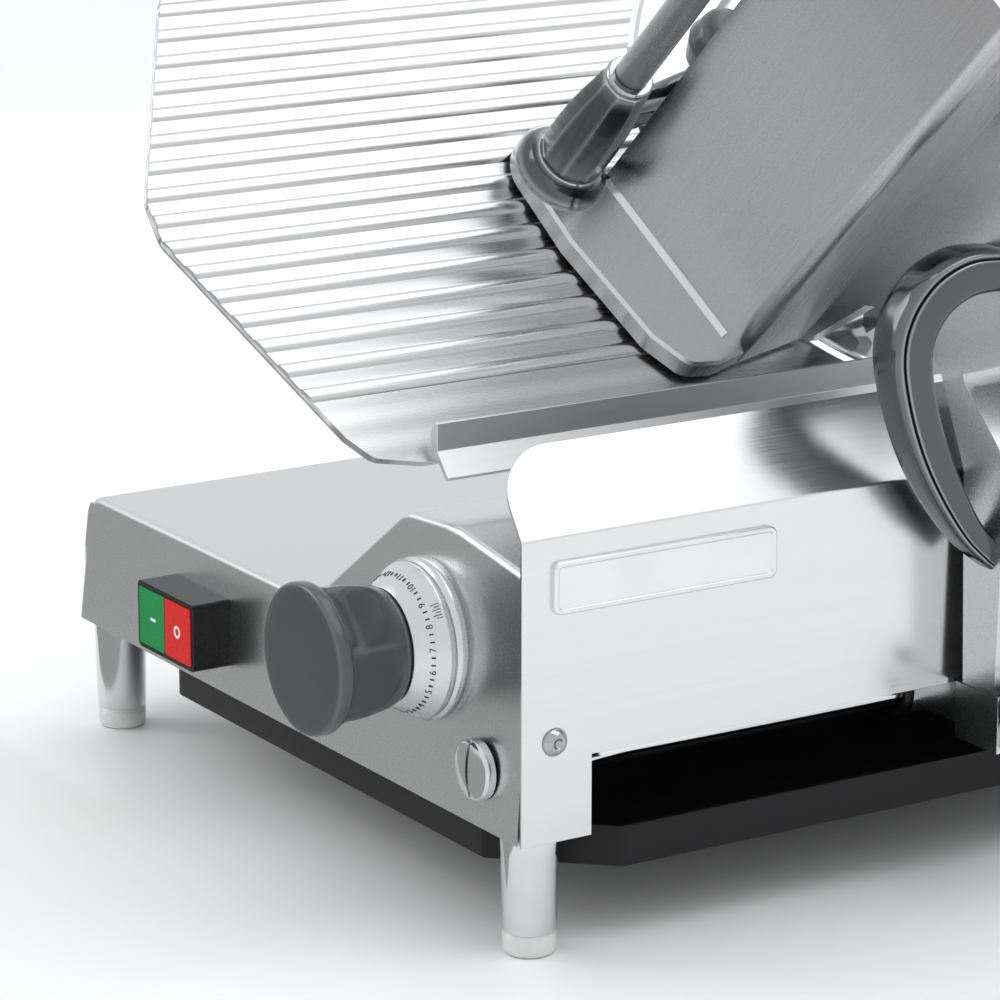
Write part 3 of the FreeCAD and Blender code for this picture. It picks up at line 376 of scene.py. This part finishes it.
# ------------------------------------------------------------------ finishes on the CAD pieces
SLOT_OF = {row["node"]: row["material_slot"] for row in frame["record"]["subparts"]}
# width in millimetres of the rounded edges, by node
EDGE_WIDTH = {"side_panel": 0.25, "meat_tray": 0.8, "carriage_leg": 1.2, "switch_housing": 0.8, "start_button": 0.6,
              "stop_button": 0.6, "base_cover": 0.6, "foot_posts": 0.5, "blade_housing": 0.6, "ring_guard": 0.6,
              "sharpener_body": 1.2, "carriage_block": 0.8, "lock_knob": 1.0, "cover_knob": 0.8, "dial_ring": 0.3,
              "front_rail": 0.3}
# nodes whose broad flat faces set the shading of the bends and edges beside them
BROAD_FLAT = {"base_casting", "side_panel", "gauge_plate", "meat_tray", "front_rail", "carriage_leg",
              "switch_housing", "base_cover", "start_button", "stop_button", "sharpener_body", "slice_deflector",
              "gauge_arm", "blade_housing", "carriage_block", "pusher_plate"}


CREASE = math.radians(32)
SAME_PLANE = 0.99999    # dot product of the normals of faces in one flat region
KEY_STEPS = 1e5         # points less than about 0.01 mm apart count as one
WELD_GAP = 0.000002
FLAT_WIDTH = 8.0        # narrower strips, such as the facets of a bend, stay smooth


def outline_flat_regions(mesh, least_width):
    """Mark the outline of each broad flat region as sharp, so that its shading stays flat."""
    corner = [tuple(round(value * KEY_STEPS) for value in vertex.co) for vertex in mesh.vertices]
    touching = {}
    for polygon in mesh.polygons:
        for first, second in polygon.edge_keys:
            touching.setdefault(frozenset((corner[first], corner[second])), []).append(polygon.index)
    group = list(range(len(mesh.polygons)))

    def leader(index):
        while group[index] != index:
            group[index] = group[group[index]]
            index = group[index]
        return index

    for pair in touching.values():
        if len(pair) == 2 and mesh.polygons[pair[0]].normal.dot(mesh.polygons[pair[1]].normal) > SAME_PLANE:
            group[leader(pair[0])] = leader(pair[1])
    area = {}
    for polygon in mesh.polygons:
        area[leader(polygon.index)] = area.get(leader(polygon.index), 0.0) + polygon.area
    outline = {}
    rim = []
    for edge in mesh.edges:
        first, second = edge.vertices
        pair = touching.get(frozenset((corner[first], corner[second])), [])
        if len(pair) == 2 and leader(pair[0]) != leader(pair[1]):
            length = (mesh.vertices[first].co - mesh.vertices[second].co).length
            for index in pair:
                outline[leader(index)] = outline.get(leader(index), 0.0) + length
            rim.append((edge, leader(pair[0]), leader(pair[1])))
    for edge, first, second in rim:
        if any(2 * area[index] > least_width * outline[index] for index in (first, second)):
            edge.use_edge_sharp = True


def soften(node, width):
    """Smooth shading by angle, with a small rounded edge where two faces meet."""
    piece = frame["nodes"][node]
    weld = piece.modifiers.new("weld", "WELD")
    weld.merge_threshold = WELD_GAP
    if width > 0:
        bevel = piece.modifiers.new("edge", "BEVEL")
        bevel.width = width * MM
        bevel.segments = 3
        bevel.limit_method = "ANGLE"
        bevel.angle_limit = CREASE
        bevel.harden_normals = True
    if node in BROAD_FLAT:
        flat = piece.modifiers.new("flat_faces", "WEIGHTED_NORMAL")
        flat.mode = "FACE_AREA"
        flat.weight = 80
        flat.keep_sharp = True
    for polygon in piece.data.polygons:
        polygon.use_smooth = True
    piece.data.set_sharp_from_angle(angle=CREASE)
    if node in BROAD_FLAT and width == 0.0:
        outline_flat_regions(piece.data, FLAT_WIDTH * MM)


OWN_FINISH = {"gauge_plate": ribbed_plate(), "foot_posts": post_polish, "base_screws": screw_steel,
              "front_rail": rail_satin, "meat_tray": tray_satin, "pusher_rod": rod_satin,
              "pusher_knob": MATERIALS["grey_plastic"]}
for node, piece in frame["nodes"].items():
    piece.data.materials.clear()
    piece.data.materials.append(OWN_FINISH.get(node, MATERIALS[SLOT_OF[node]]))
    soften(node, EDGE_WIDTH.get(node, 0.0))


# ------------------------------------------------------------------ mesh building
def make_piece(name, mesh, body, slot_name, material=None, sharp=32):
    """Link a mesh as a piece that rides on a body; edges above sharp degrees stay sharp."""
    piece = bpy.data.objects.new(name, mesh)
    scene.collection.objects.link(piece)
    for polygon in mesh.polygons:
        polygon.use_smooth = True
    mesh.set_sharp_from_angle(angle=math.radians(sharp))
    mesh.materials.append(material or MATERIALS[slot_name])
    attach(piece, body)
    return piece


def add_loft(work, rings, capped=True):
    """Faces through rings of the same count: capped at both ends, or the last joined to the first."""
    made = [[work.verts.new(point) for point in ring] for ring in rings]
    count = len(made[0])
    pairs = list(zip(made[:-1], made[1:]))
    if capped:
        work.faces.new(list(reversed(made[0])))
        work.faces.new(made[-1])
    else:
        pairs.append((made[-1], made[0]))
    for lower, upper in pairs:
        for i in range(count):
            j = (i + 1) % count
            work.faces.new((lower[i], lower[j], upper[j], upper[i]))


def lofted(name, rings, capped=True):
    """Mesh of one loft."""
    return joined_lofts(name, [rings], capped)


def joined_lofts(name, groups, capped=True):
    """One mesh made of several lofts."""
    mesh = bpy.data.meshes.new(name)
    work = bmesh.new()
    for rings in groups:
        add_loft(work, rings, capped)
    bmesh.ops.recalc_face_normals(work, faces=work.faces)
    work.to_mesh(mesh)
    work.free()
    return mesh


# ------------------------------------------------------------------ thickness knob
KNOB_X, KNOB_Z = -85.0, 74.0
FLUTES = 6
FLUTE_TOP = 53.2
FLUTE_RUN = 5.5
FLUTE_DEPTH = 4.4
KNOB_FOOT = 19.0
FOOT_RUN = 20.0
RIDGE_ANGLE = math.radians(17.6)
KNOB_STEPS = 192
# (radius, height) from the shaft hole, up the side and over the cap
KNOB_PROFILE = [(6.05, KNOB_FOOT), (24.6, KNOB_FOOT), (26.0, 19.6), (28.0, 22.5), (29.9, 26.5), (31.5, 31),
                (32.7, 36), (33.5, 41), (33.9, 44), (34.0, 46), (34.05, 48), (34.0, 49.5), (33.95, 51), (33.9, 52),
                (33.6, 53), (33.5, 53.6), (34.0, 54.2), (34.4, 54.9), (34.6, 56.0), (34.6, 59.0), (34.4, 59.9),
                (33.9, 60.6), (33.2, 60.9), (32.2, 61.0), (27, 61.0), (0.5, 61.0)]


def knob_point(radius, angle, height):
    """Point on the knob: height is measured out of the front face, along -Y."""
    return place(KNOB_X + radius * math.cos(angle), -height, KNOB_Z + radius * math.sin(angle))


knob_rings = []
for radius, height in KNOB_PROFILE:
    start = min(max((FLUTE_TOP - height) / FLUTE_RUN, 0), 1)
    end = min(max((height - KNOB_FOOT) / FOOT_RUN, 0), 1)
    depth = FLUTE_DEPTH * math.sqrt(start * (2 - start)) * end * end * (3 - 2 * end)
    ring = []
    for i in range(KNOB_STEPS):
        angle = 2 * math.pi * i / KNOB_STEPS
        share = ((angle - RIDGE_ANGLE) * FLUTES / (2 * math.pi)) % 1.0 - 0.5
        ring.append(knob_point(radius - depth * math.cos(math.pi * share), angle, height))
    knob_rings.append(ring)
knob = make_piece("knob_moulding", lofted("knob_moulding", knob_rings), "knob_set", "grey_plastic", sharp=40)
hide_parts("knob")


# ------------------------------------------------------------------ dial scale
DIAL_RIM, DIAL_TAPER = 35.75, 9.4
DIAL_FRONT, DIAL_RISE = 5.05, 13.6
DIAL_SWEEP = math.radians(290)
DIVISIONS = 45
STEP = DIAL_SWEEP / DIVISIONS
START = RIDGE_ANGLE - DIAL_SWEEP / 2
# lowest and highest point of a stroke as shares of the cone, and half its width in millimetres
STROKE_LOW, STROKE_HIGH, STROKE_HALF = 0.42, 0.54, 0.35
FINE_LOW, FINE_HIGH, FINE_LONGER, FINE_HALF = 0.06, 0.22, 0.08, 0.16
FINE_START, FINE_STEP, FINE_MARKS = 32, 2.2, 6
NUMERAL_SIZE = 4.4
NUMERAL_MIDDLE = 0.48
CONE_LENGTH = 16.5
MARK_HEIGHT = 0.12


def dial_radius(along):
    """Radius of the dial's cone; along is 0 at the rim and 1 at the knob."""
    return DIAL_RIM - DIAL_TAPER * along


def dial_point(angle, along):
    """Point just proud of the cone; along is 0 at the rim and 1 at the knob."""
    return knob_point(dial_radius(along), angle, DIAL_FRONT + DIAL_RISE * along)


def dial_stroke(work, angle, low, high, half_width):
    """Thin painted line up the cone."""
    ring = []
    for side, along in ((-1, low), (1, low), (1, high), (-1, high)):
        ring.append(work.verts.new(dial_point(angle + side * half_width / dial_radius(along), along)))
    work.faces.new(ring)


marks_mesh = bpy.data.meshes.new("dial_marks")
marks = bmesh.new()
for i in range(DIVISIONS + 1):
    if i % 3 != 0:
        dial_stroke(marks, START + STEP * i, STROKE_LOW, STROKE_HIGH, STROKE_HALF)
for i in range(FINE_MARKS):
    top = FINE_HIGH + FINE_LONGER * (i % 2)
    dial_stroke(marks, math.radians(FINE_START + i * FINE_STEP), FINE_LOW, top, FINE_HALF)
for number in range(DIVISIONS // 3 + 1):
    text = bpy.data.curves.new("numeral", "FONT")
    text.body = str(number)
    text.size = NUMERAL_SIZE
    text.align_x = "CENTER"
    text.align_y = "CENTER"
    text_object = bpy.data.objects.new("numeral", text)
    scene.collection.objects.link(text_object)
    bpy.context.view_layer.update()
    flat = bpy.data.meshes.new_from_object(text_object)
    centre = START + STEP * number * 3
    verts = []
    for vertex in flat.vertices:
        along = NUMERAL_MIDDLE + vertex.co.y / CONE_LENGTH
        verts.append(marks.verts.new(dial_point(centre + vertex.co.x / dial_radius(along), along)))
    for polygon in flat.polygons:
        marks.faces.new([verts[index] for index in polygon.vertices])
    bpy.data.objects.remove(text_object)
    bpy.data.meshes.remove(flat)
bmesh.ops.recalc_face_normals(marks, faces=marks.faces)
marks.to_mesh(marks_mesh)
marks.free()
marks_piece = make_piece("dial_marks", marks_mesh, "knob_set", "black_plastic", black_mark)
thickness = marks_piece.modifiers.new("thickness", "SOLIDIFY")
thickness.thickness = MARK_HEIGHT * MM
thickness.offset = -1.0


# ------------------------------------------------------------------ switch marks
def slab(name, outline, depth_low, depth_high, holes=()):
    """Flat mark on the switch: outline of (x, z) points, standing proud along -Y, with at most one hole."""
    mesh = bpy.data.meshes.new(name)
    work = bmesh.new()
    for depth in (depth_low, depth_high):
        for loop in (outline, *holes):
            for x, z in loop:
                work.verts.new(place(x, -depth, z))
    work.verts.ensure_lookup_table()
    total = len(outline) + sum(len(loop) for loop in holes)
    start = 0
    for loop in (outline, *holes):
        count = len(loop)
        for i in range(count):
            j = (i + 1) % count
            work.faces.new([work.verts[k] for k in (start + i, start + j, total + start + j, total + start + i)])
        start += count
    for layer in (0, total):
        if holes:
            count = len(outline)
            for i in range(count):
                j = (i + 1) % count
                ring = (layer + i, layer + j, layer + count + j, layer + count + i)
                work.faces.new([work.verts[k] for k in ring])
        else:
            work.faces.new([work.verts[layer + i] for i in range(total)])
    bmesh.ops.recalc_face_normals(work, faces=work.faces)
    work.to_mesh(mesh)
    work.free()
    return mesh


def centre_of(node):
    """Middle of a node in machine millimetres, with its front depth."""
    low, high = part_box(node)
    middle = ((low + high) / 2 - ORIGIN) / MM
    return middle.x, middle.z, -(low.y - ORIGIN.y) / MM


def circle(x, z, radius, count=40):
    """Outline of a circle, as (x, z) points."""
    turns = [2 * math.pi * i / count for i in range(count)]
    return [(x + radius * math.cos(turn), z + radius * math.sin(turn)) for turn in turns]


MARK_ROOT = 0.2
BAR_LEFT, BAR_RIGHT, BAR_HALF = -1.2, 4.0, 0.7
RING_SHIFT, RING_OUTER, RING_INNER = -0.5, 3.1, 1.9

bar_x, bar_z, face = centre_of("start_button")
bar_line = [(bar_x + BAR_LEFT, bar_z - BAR_HALF), (bar_x + BAR_RIGHT, bar_z - BAR_HALF),
            (bar_x + BAR_RIGHT, bar_z + BAR_HALF), (bar_x + BAR_LEFT, bar_z + BAR_HALF)]
bar_mesh = slab("start_mark", bar_line, face - MARK_ROOT, face + MARK_HEIGHT)
make_piece("start_mark", bar_mesh, "start", "green_plastic", white_mark)

ring_x, ring_z, face = centre_of("stop_button")
outer, inner = (circle(ring_x + RING_SHIFT, ring_z, radius) for radius in (RING_OUTER, RING_INNER))
ring_mesh = slab("stop_mark", outer, face - MARK_ROOT, face + MARK_HEIGHT, [inner])
make_piece("stop_mark", ring_mesh, "stop", "red_plastic", white_mark)


# ------------------------------------------------------------------ blank badge
def rounded_box(width, height, radius, count=8):
    """Outline of a rounded rectangle from (0, 0) to (width, height)."""
    points = []
    right, top = width - radius, height - radius
    corners = ((right, radius, -90), (right, top, 0), (radius, top, 90), (radius, radius, 180))
    for centre_y, centre_z, start in corners:
        for i in range(count + 1):
            angle = math.radians(start + 90 * i / count)
            points.append((centre_y + radius * math.cos(angle), centre_z + radius * math.sin(angle)))
    return points


badge_low, badge_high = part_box("badge_plate")
badge_start = (badge_low - ORIGIN) / MM
badge_size = (badge_high - badge_low) / MM


def badge_ring(inset, radius, depth):
    """Outline of the badge, drawn in by the inset, at a depth off the panel."""
    outline = rounded_box(badge_size.y - 2 * inset, badge_size.z - 2 * inset, radius)
    return [place(depth, badge_start.y + inset + y, badge_start.z + inset + z) for y, z in outline]


# (inset, corner radius, height): up the outside, over the raised rim and down to the sunk face
BADGE_PROFILE = [(0, 4.0, 0.0), (0, 4.0, 1.7), (0.25, 3.8, 2.25), (0.7, 3.4, 2.55), (1.2, 3.0, 2.6), (2.0, 2.4, 2.5),
                 (2.5, 2.0, 2.15), (2.7, 1.9, 1.8), (3.0, 1.7, 1.75)]
badge_mesh = lofted("badge_frame", [badge_ring(*row) for row in BADGE_PROFILE])
badge_satin = plain_metal("badge_satin", (0.80, 0.80, 0.80), 0.3).material
badge = make_piece("badge_frame", badge_mesh, "base", "steel_sheet", badge_satin)
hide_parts("badge_plate")


# ------------------------------------------------------------------ swept pieces
def smooth_path(points, steps):
    """Catmull-Rom line through tuples of numbers."""
    ends = [points[0]] + list(points) + [points[-1]]
    line = []
    for i in range(1, len(ends) - 2):
        for step in range(steps):
            t = step / steps
            row = []
            for before, here, after, far in zip(ends[i - 1], ends[i], ends[i + 1], ends[i + 2]):
                square = 2 * before - 5 * here + 4 * after - far
                cube = 3 * here - before - 3 * after + far
                row.append(0.5 * (2 * here + (after - before) * t + square * t * t + cube * t ** 3))
            line.append(tuple(row))
    line.append(tuple(points[-1]))
    return line


def with_direction(line):
    """Each row of a line, with the unit direction of its first two numbers."""
    for i, row in enumerate(line):
        before = line[max(i - 1, 0)]
        after = line[min(i + 1, len(line) - 1)]
        yield row, Vector((after[0] - before[0], after[1] - before[1])).normalized()


def squircle(angle, half_width, half_height, power):
    """Point on a rounded rectangle-like outline."""
    across, upward = math.cos(angle), math.sin(angle)
    reach = (abs(across) ** power + abs(upward) ** power) ** (-1 / power)
    return half_width * reach * across, half_height * reach * upward


GRIP_X = 22.0
# (Y, Z, half width across X, half depth) down the grip
GRIP = [(240, 235, 11.0, 9.5), (226, 236.5, 11.2, 10.2), (212, 235.5, 11.5, 11.0), (198, 229, 11.6, 11.5),
        (188, 217, 11.5, 11.5), (184.5, 202, 11.3, 11.0), (188, 181, 11.0, 10.3), (196, 158, 10.6, 9.6),
        (207, 137, 10.0, 8.5), (220, 118, 8.8, 7.0), (232, 106, 7.4, 6.0), (238, 101, 6.6, 5.4)]
GRIP_STEPS = 144
GRIP_POWER = 4.2
GROOVE_PLACE, GROOVE_WIDTH, GROOVE_DEPTH = 0.84, 0.03, 0.1
grip_rings = []
for (y, z, half_x, half_n), along in with_direction(smooth_path(GRIP, 8)):
    inward = Vector((0, -along.y, along.x))
    ring = []
    for k in range(GRIP_STEPS):
        angle = 2 * math.pi * k / GRIP_STEPS
        across, deep = squircle(angle, half_x, half_n, GRIP_POWER)
        groove = 0.0
        if math.sin(angle) < 0:
            groove = math.exp(-((abs(math.cos(angle)) - GROOVE_PLACE) / GROOVE_WIDTH) ** 2)
        scale = 1 - GROOVE_DEPTH * groove
        point = Vector((GRIP_X + across * scale, y, z)) + inward * deep * scale
        ring.append(place(*point))
    grip_rings.append(ring)
handle = make_piece("grip", lofted("grip", grip_rings), "tray", "grey_plastic", dark_cast, 50)
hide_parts("carriage_handle")


# ------------------------------------------------------------------ pusher sleeve, arm and socket
FLANGE_TOP = 38.0
ROD_Y, ROD_UP = 136.0, 312.0
HUB_START = FLANGE_TOP + 12.5


def round_rod(profile, sides=0, flat=0.0, count=96):
    """Rings about the pusher rod, each (radius, height); flat blends towards a polygon."""
    rings = []
    for radius, height in profile:
        ring = []
        for k in range(count):
            angle = 2 * math.pi * k / count
            reach = radius
            if sides:
                part = (angle * sides / (2 * math.pi)) % 1.0 - 0.5
                polygon = math.cos(math.pi / sides) / math.cos(2 * math.pi * part / sides)
                reach = radius * (1 - flat + flat * polygon)
            ring.append(blade_place(ROD_Y + reach * math.cos(angle), ROD_UP + reach * math.sin(angle), height))
        rings.append(ring)
    return rings


def turned_piece(name, start, profile, body, node, sharp=32, **shape):
    """Hollow turned piece about the pusher rod, in place of a CAD node; heights count from start."""
    rings = round_rod([(radius, start + height) for radius, height in profile], **shape)
    piece = make_piece(name, lofted(name, rings, False), body, "grey_plastic", dark_cast, sharp)
    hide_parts(node)


SOCKET_PROFILE = [(8.2, 0), (23.0, 0), (23.0, 0.8), (22.6, 2.4), (20.6, 4.2), (18.6, 6.4), (17.3, 9), (16.8, 11.4),
                  (16.2, 12), (8.2, 12)]
SLEEVE_PROFILE = [(8.1, 0), (15.2, 0), (16.0, 0.7), (16.3, 2.5), (16.2, 18), (15.6, 32), (14.2, 44), (12.9, 53),
                  (12.3, 59), (11.7, 61.2), (10.8, 62), (8.1, 62)]
COLLAR_PROFILE = [(8.1, 62.3), (10.9, 62.3), (11.5, 63), (11.7, 64.2), (11.4, 65.4), (10.6, 66.2), (8.1, 66.3)]
turned_piece("socket_cup", FLANGE_TOP, SOCKET_PROFILE, "tray", "rod_socket")
turned_piece("pusher_sleeve", HUB_START, SLEEVE_PROFILE, "pusher", "pusher_hub", 24, sides=8, flat=0.75)
turned_piece("sleeve_ring", HUB_START, COLLAR_PROFILE, "pusher_carrier", "pusher_collar")

# (Y, up, half width, half thickness) along the arm
ARM = [(149, 316.0, 6.8, 12.0), (158, 318.5, 6.8, 12.0), (170, 321.5, 7.0, 11.5), (182, 324.5, 7.5, 8.5),
       (196, 327.5, 8.5, 7.3), (208, 329.0, 9.5, 7.3), (220, 327.5, 10.5, 6.0), (232, 322.0, 11.5, 5.0),
       (242, 315.0, 11.5, 4.0), (249, 308.0, 10.0, 3.2)]
ARM_OFF = 72.3      # middle of the arm, off the blade plane
ARM_DROP = 5.3      # how far its far end comes down to the pusher plate
DROP_START = 0.6
ARM_STEPS = 48
ARM_POWER = 2.8
arm_rings = []
arm_line = smooth_path(ARM, 6)
for i, ((y, up, half_side, half_off), along) in enumerate(with_direction(arm_line)):
    share = (i / (len(arm_line) - 1) - DROP_START) / (1 - DROP_START)
    middle = ARM_OFF - ARM_DROP * min(max(share, 0), 1)
    ring = []
    for k in range(ARM_STEPS):
        side, off = squircle(2 * math.pi * k / ARM_STEPS, half_side, half_off, ARM_POWER)
        ring.append(blade_place(y - along.y * side, up + along.x * side, middle + off))
    arm_rings.append(ring)
make_piece("pusher_arm", lofted("pusher_arm", arm_rings), "pusher", "grey_plastic", dark_cast, 50)


# ------------------------------------------------------------------ slotted caps on the carriage bar
BASE_LENGTH = 490.0
CAP_X, CAP_Z = -35.0, 27.0
CAP_RADIUS, DOME_RADIUS, DOME_TOP = 13.95, 45.0, 6.5
LAST_SLICE = CAP_RADIUS - 0.05
CAP_ROOT = -0.3
ROUNDING_START, ROUNDING = 12.95, 0.9
SLOT_HALF, SLOT_FLOOR, FLOOR_HALF_LENGTH = 1.0, 3.6, 13.8
SLOT_OVERLAP = 0.1
CAP_SLICES, CAP_STEPS = 18, 32
cap_groups = []
for end_y, outward in ((0.0, -1), (BASE_LENGTH, 1)):
    for side in (-1, 1):
        slices = []
        for step in range(CAP_SLICES + 1):
            across = SLOT_HALF + (LAST_SLICE - SLOT_HALF) * math.sin(math.pi / 2 * step / CAP_SLICES)
            half = math.sqrt(CAP_RADIUS ** 2 - across ** 2)
            x = CAP_X + side * across
            root = end_y + CAP_ROOT * outward
            ring = [place(x, root, CAP_Z + half), place(x, root, CAP_Z - half)]
            for k in range(CAP_STEPS + 1):
                rise = -half * math.cos(math.pi * k / CAP_STEPS)
                reach = math.hypot(across, rise)
                height = DOME_TOP - DOME_RADIUS + math.sqrt(DOME_RADIUS ** 2 - reach ** 2)
                height -= ROUNDING * max(0.0, reach - ROUNDING_START) ** 2
                ring.append(place(x, end_y + height * outward, CAP_Z + rise))
            slices.append(ring)
        cap_groups.append(slices)
    corners = ((CAP_ROOT, -FLOOR_HALF_LENGTH), (SLOT_FLOOR, -FLOOR_HALF_LENGTH), (SLOT_FLOOR, FLOOR_HALF_LENGTH),
               (CAP_ROOT, FLOOR_HALF_LENGTH))
    slot_floor = []
    for across in (-SLOT_HALF - SLOT_OVERLAP, SLOT_HALF + SLOT_OVERLAP):
        slot_floor.append([place(CAP_X + across, end_y + height * outward, CAP_Z + rise) for height, rise in corners])
    cap_groups.append(slot_floor)
caps = make_piece("slotted_caps", joined_lofts("slotted_caps", cap_groups), "base", "bright_steel", post_polish)
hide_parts("rod_end_caps")


# ------------------------------------------------------------------ weld bead along the foot of the tray wall
WALL_FOOT_Y, WALL_FOOT_UP = 157.5, 305.0
WALL_SLOPE = 30.7 / 101.4
# (height off the flange, reach along Y) of the bead's section
BEAD_SECTION = [(-0.2, 0.3), (-0.2, -2.6), (0.9, -1.5), (1.5, -0.9), (2.6, 0.3)]
BEAD_STATIONS = (303, 285, 265, 245, 228, 214)
bead_rings = []
for up in BEAD_STATIONS:
    y = WALL_FOOT_Y + (WALL_FOOT_UP - up) * WALL_SLOPE
    bead_rings.append([blade_place(y + side, up + side * 0.3, FLANGE_TOP + off) for off, side in BEAD_SECTION])
make_piece("tray_bead", lofted("tray_bead", bead_rings), "tray", "steel_sheet", post_polish, 60)
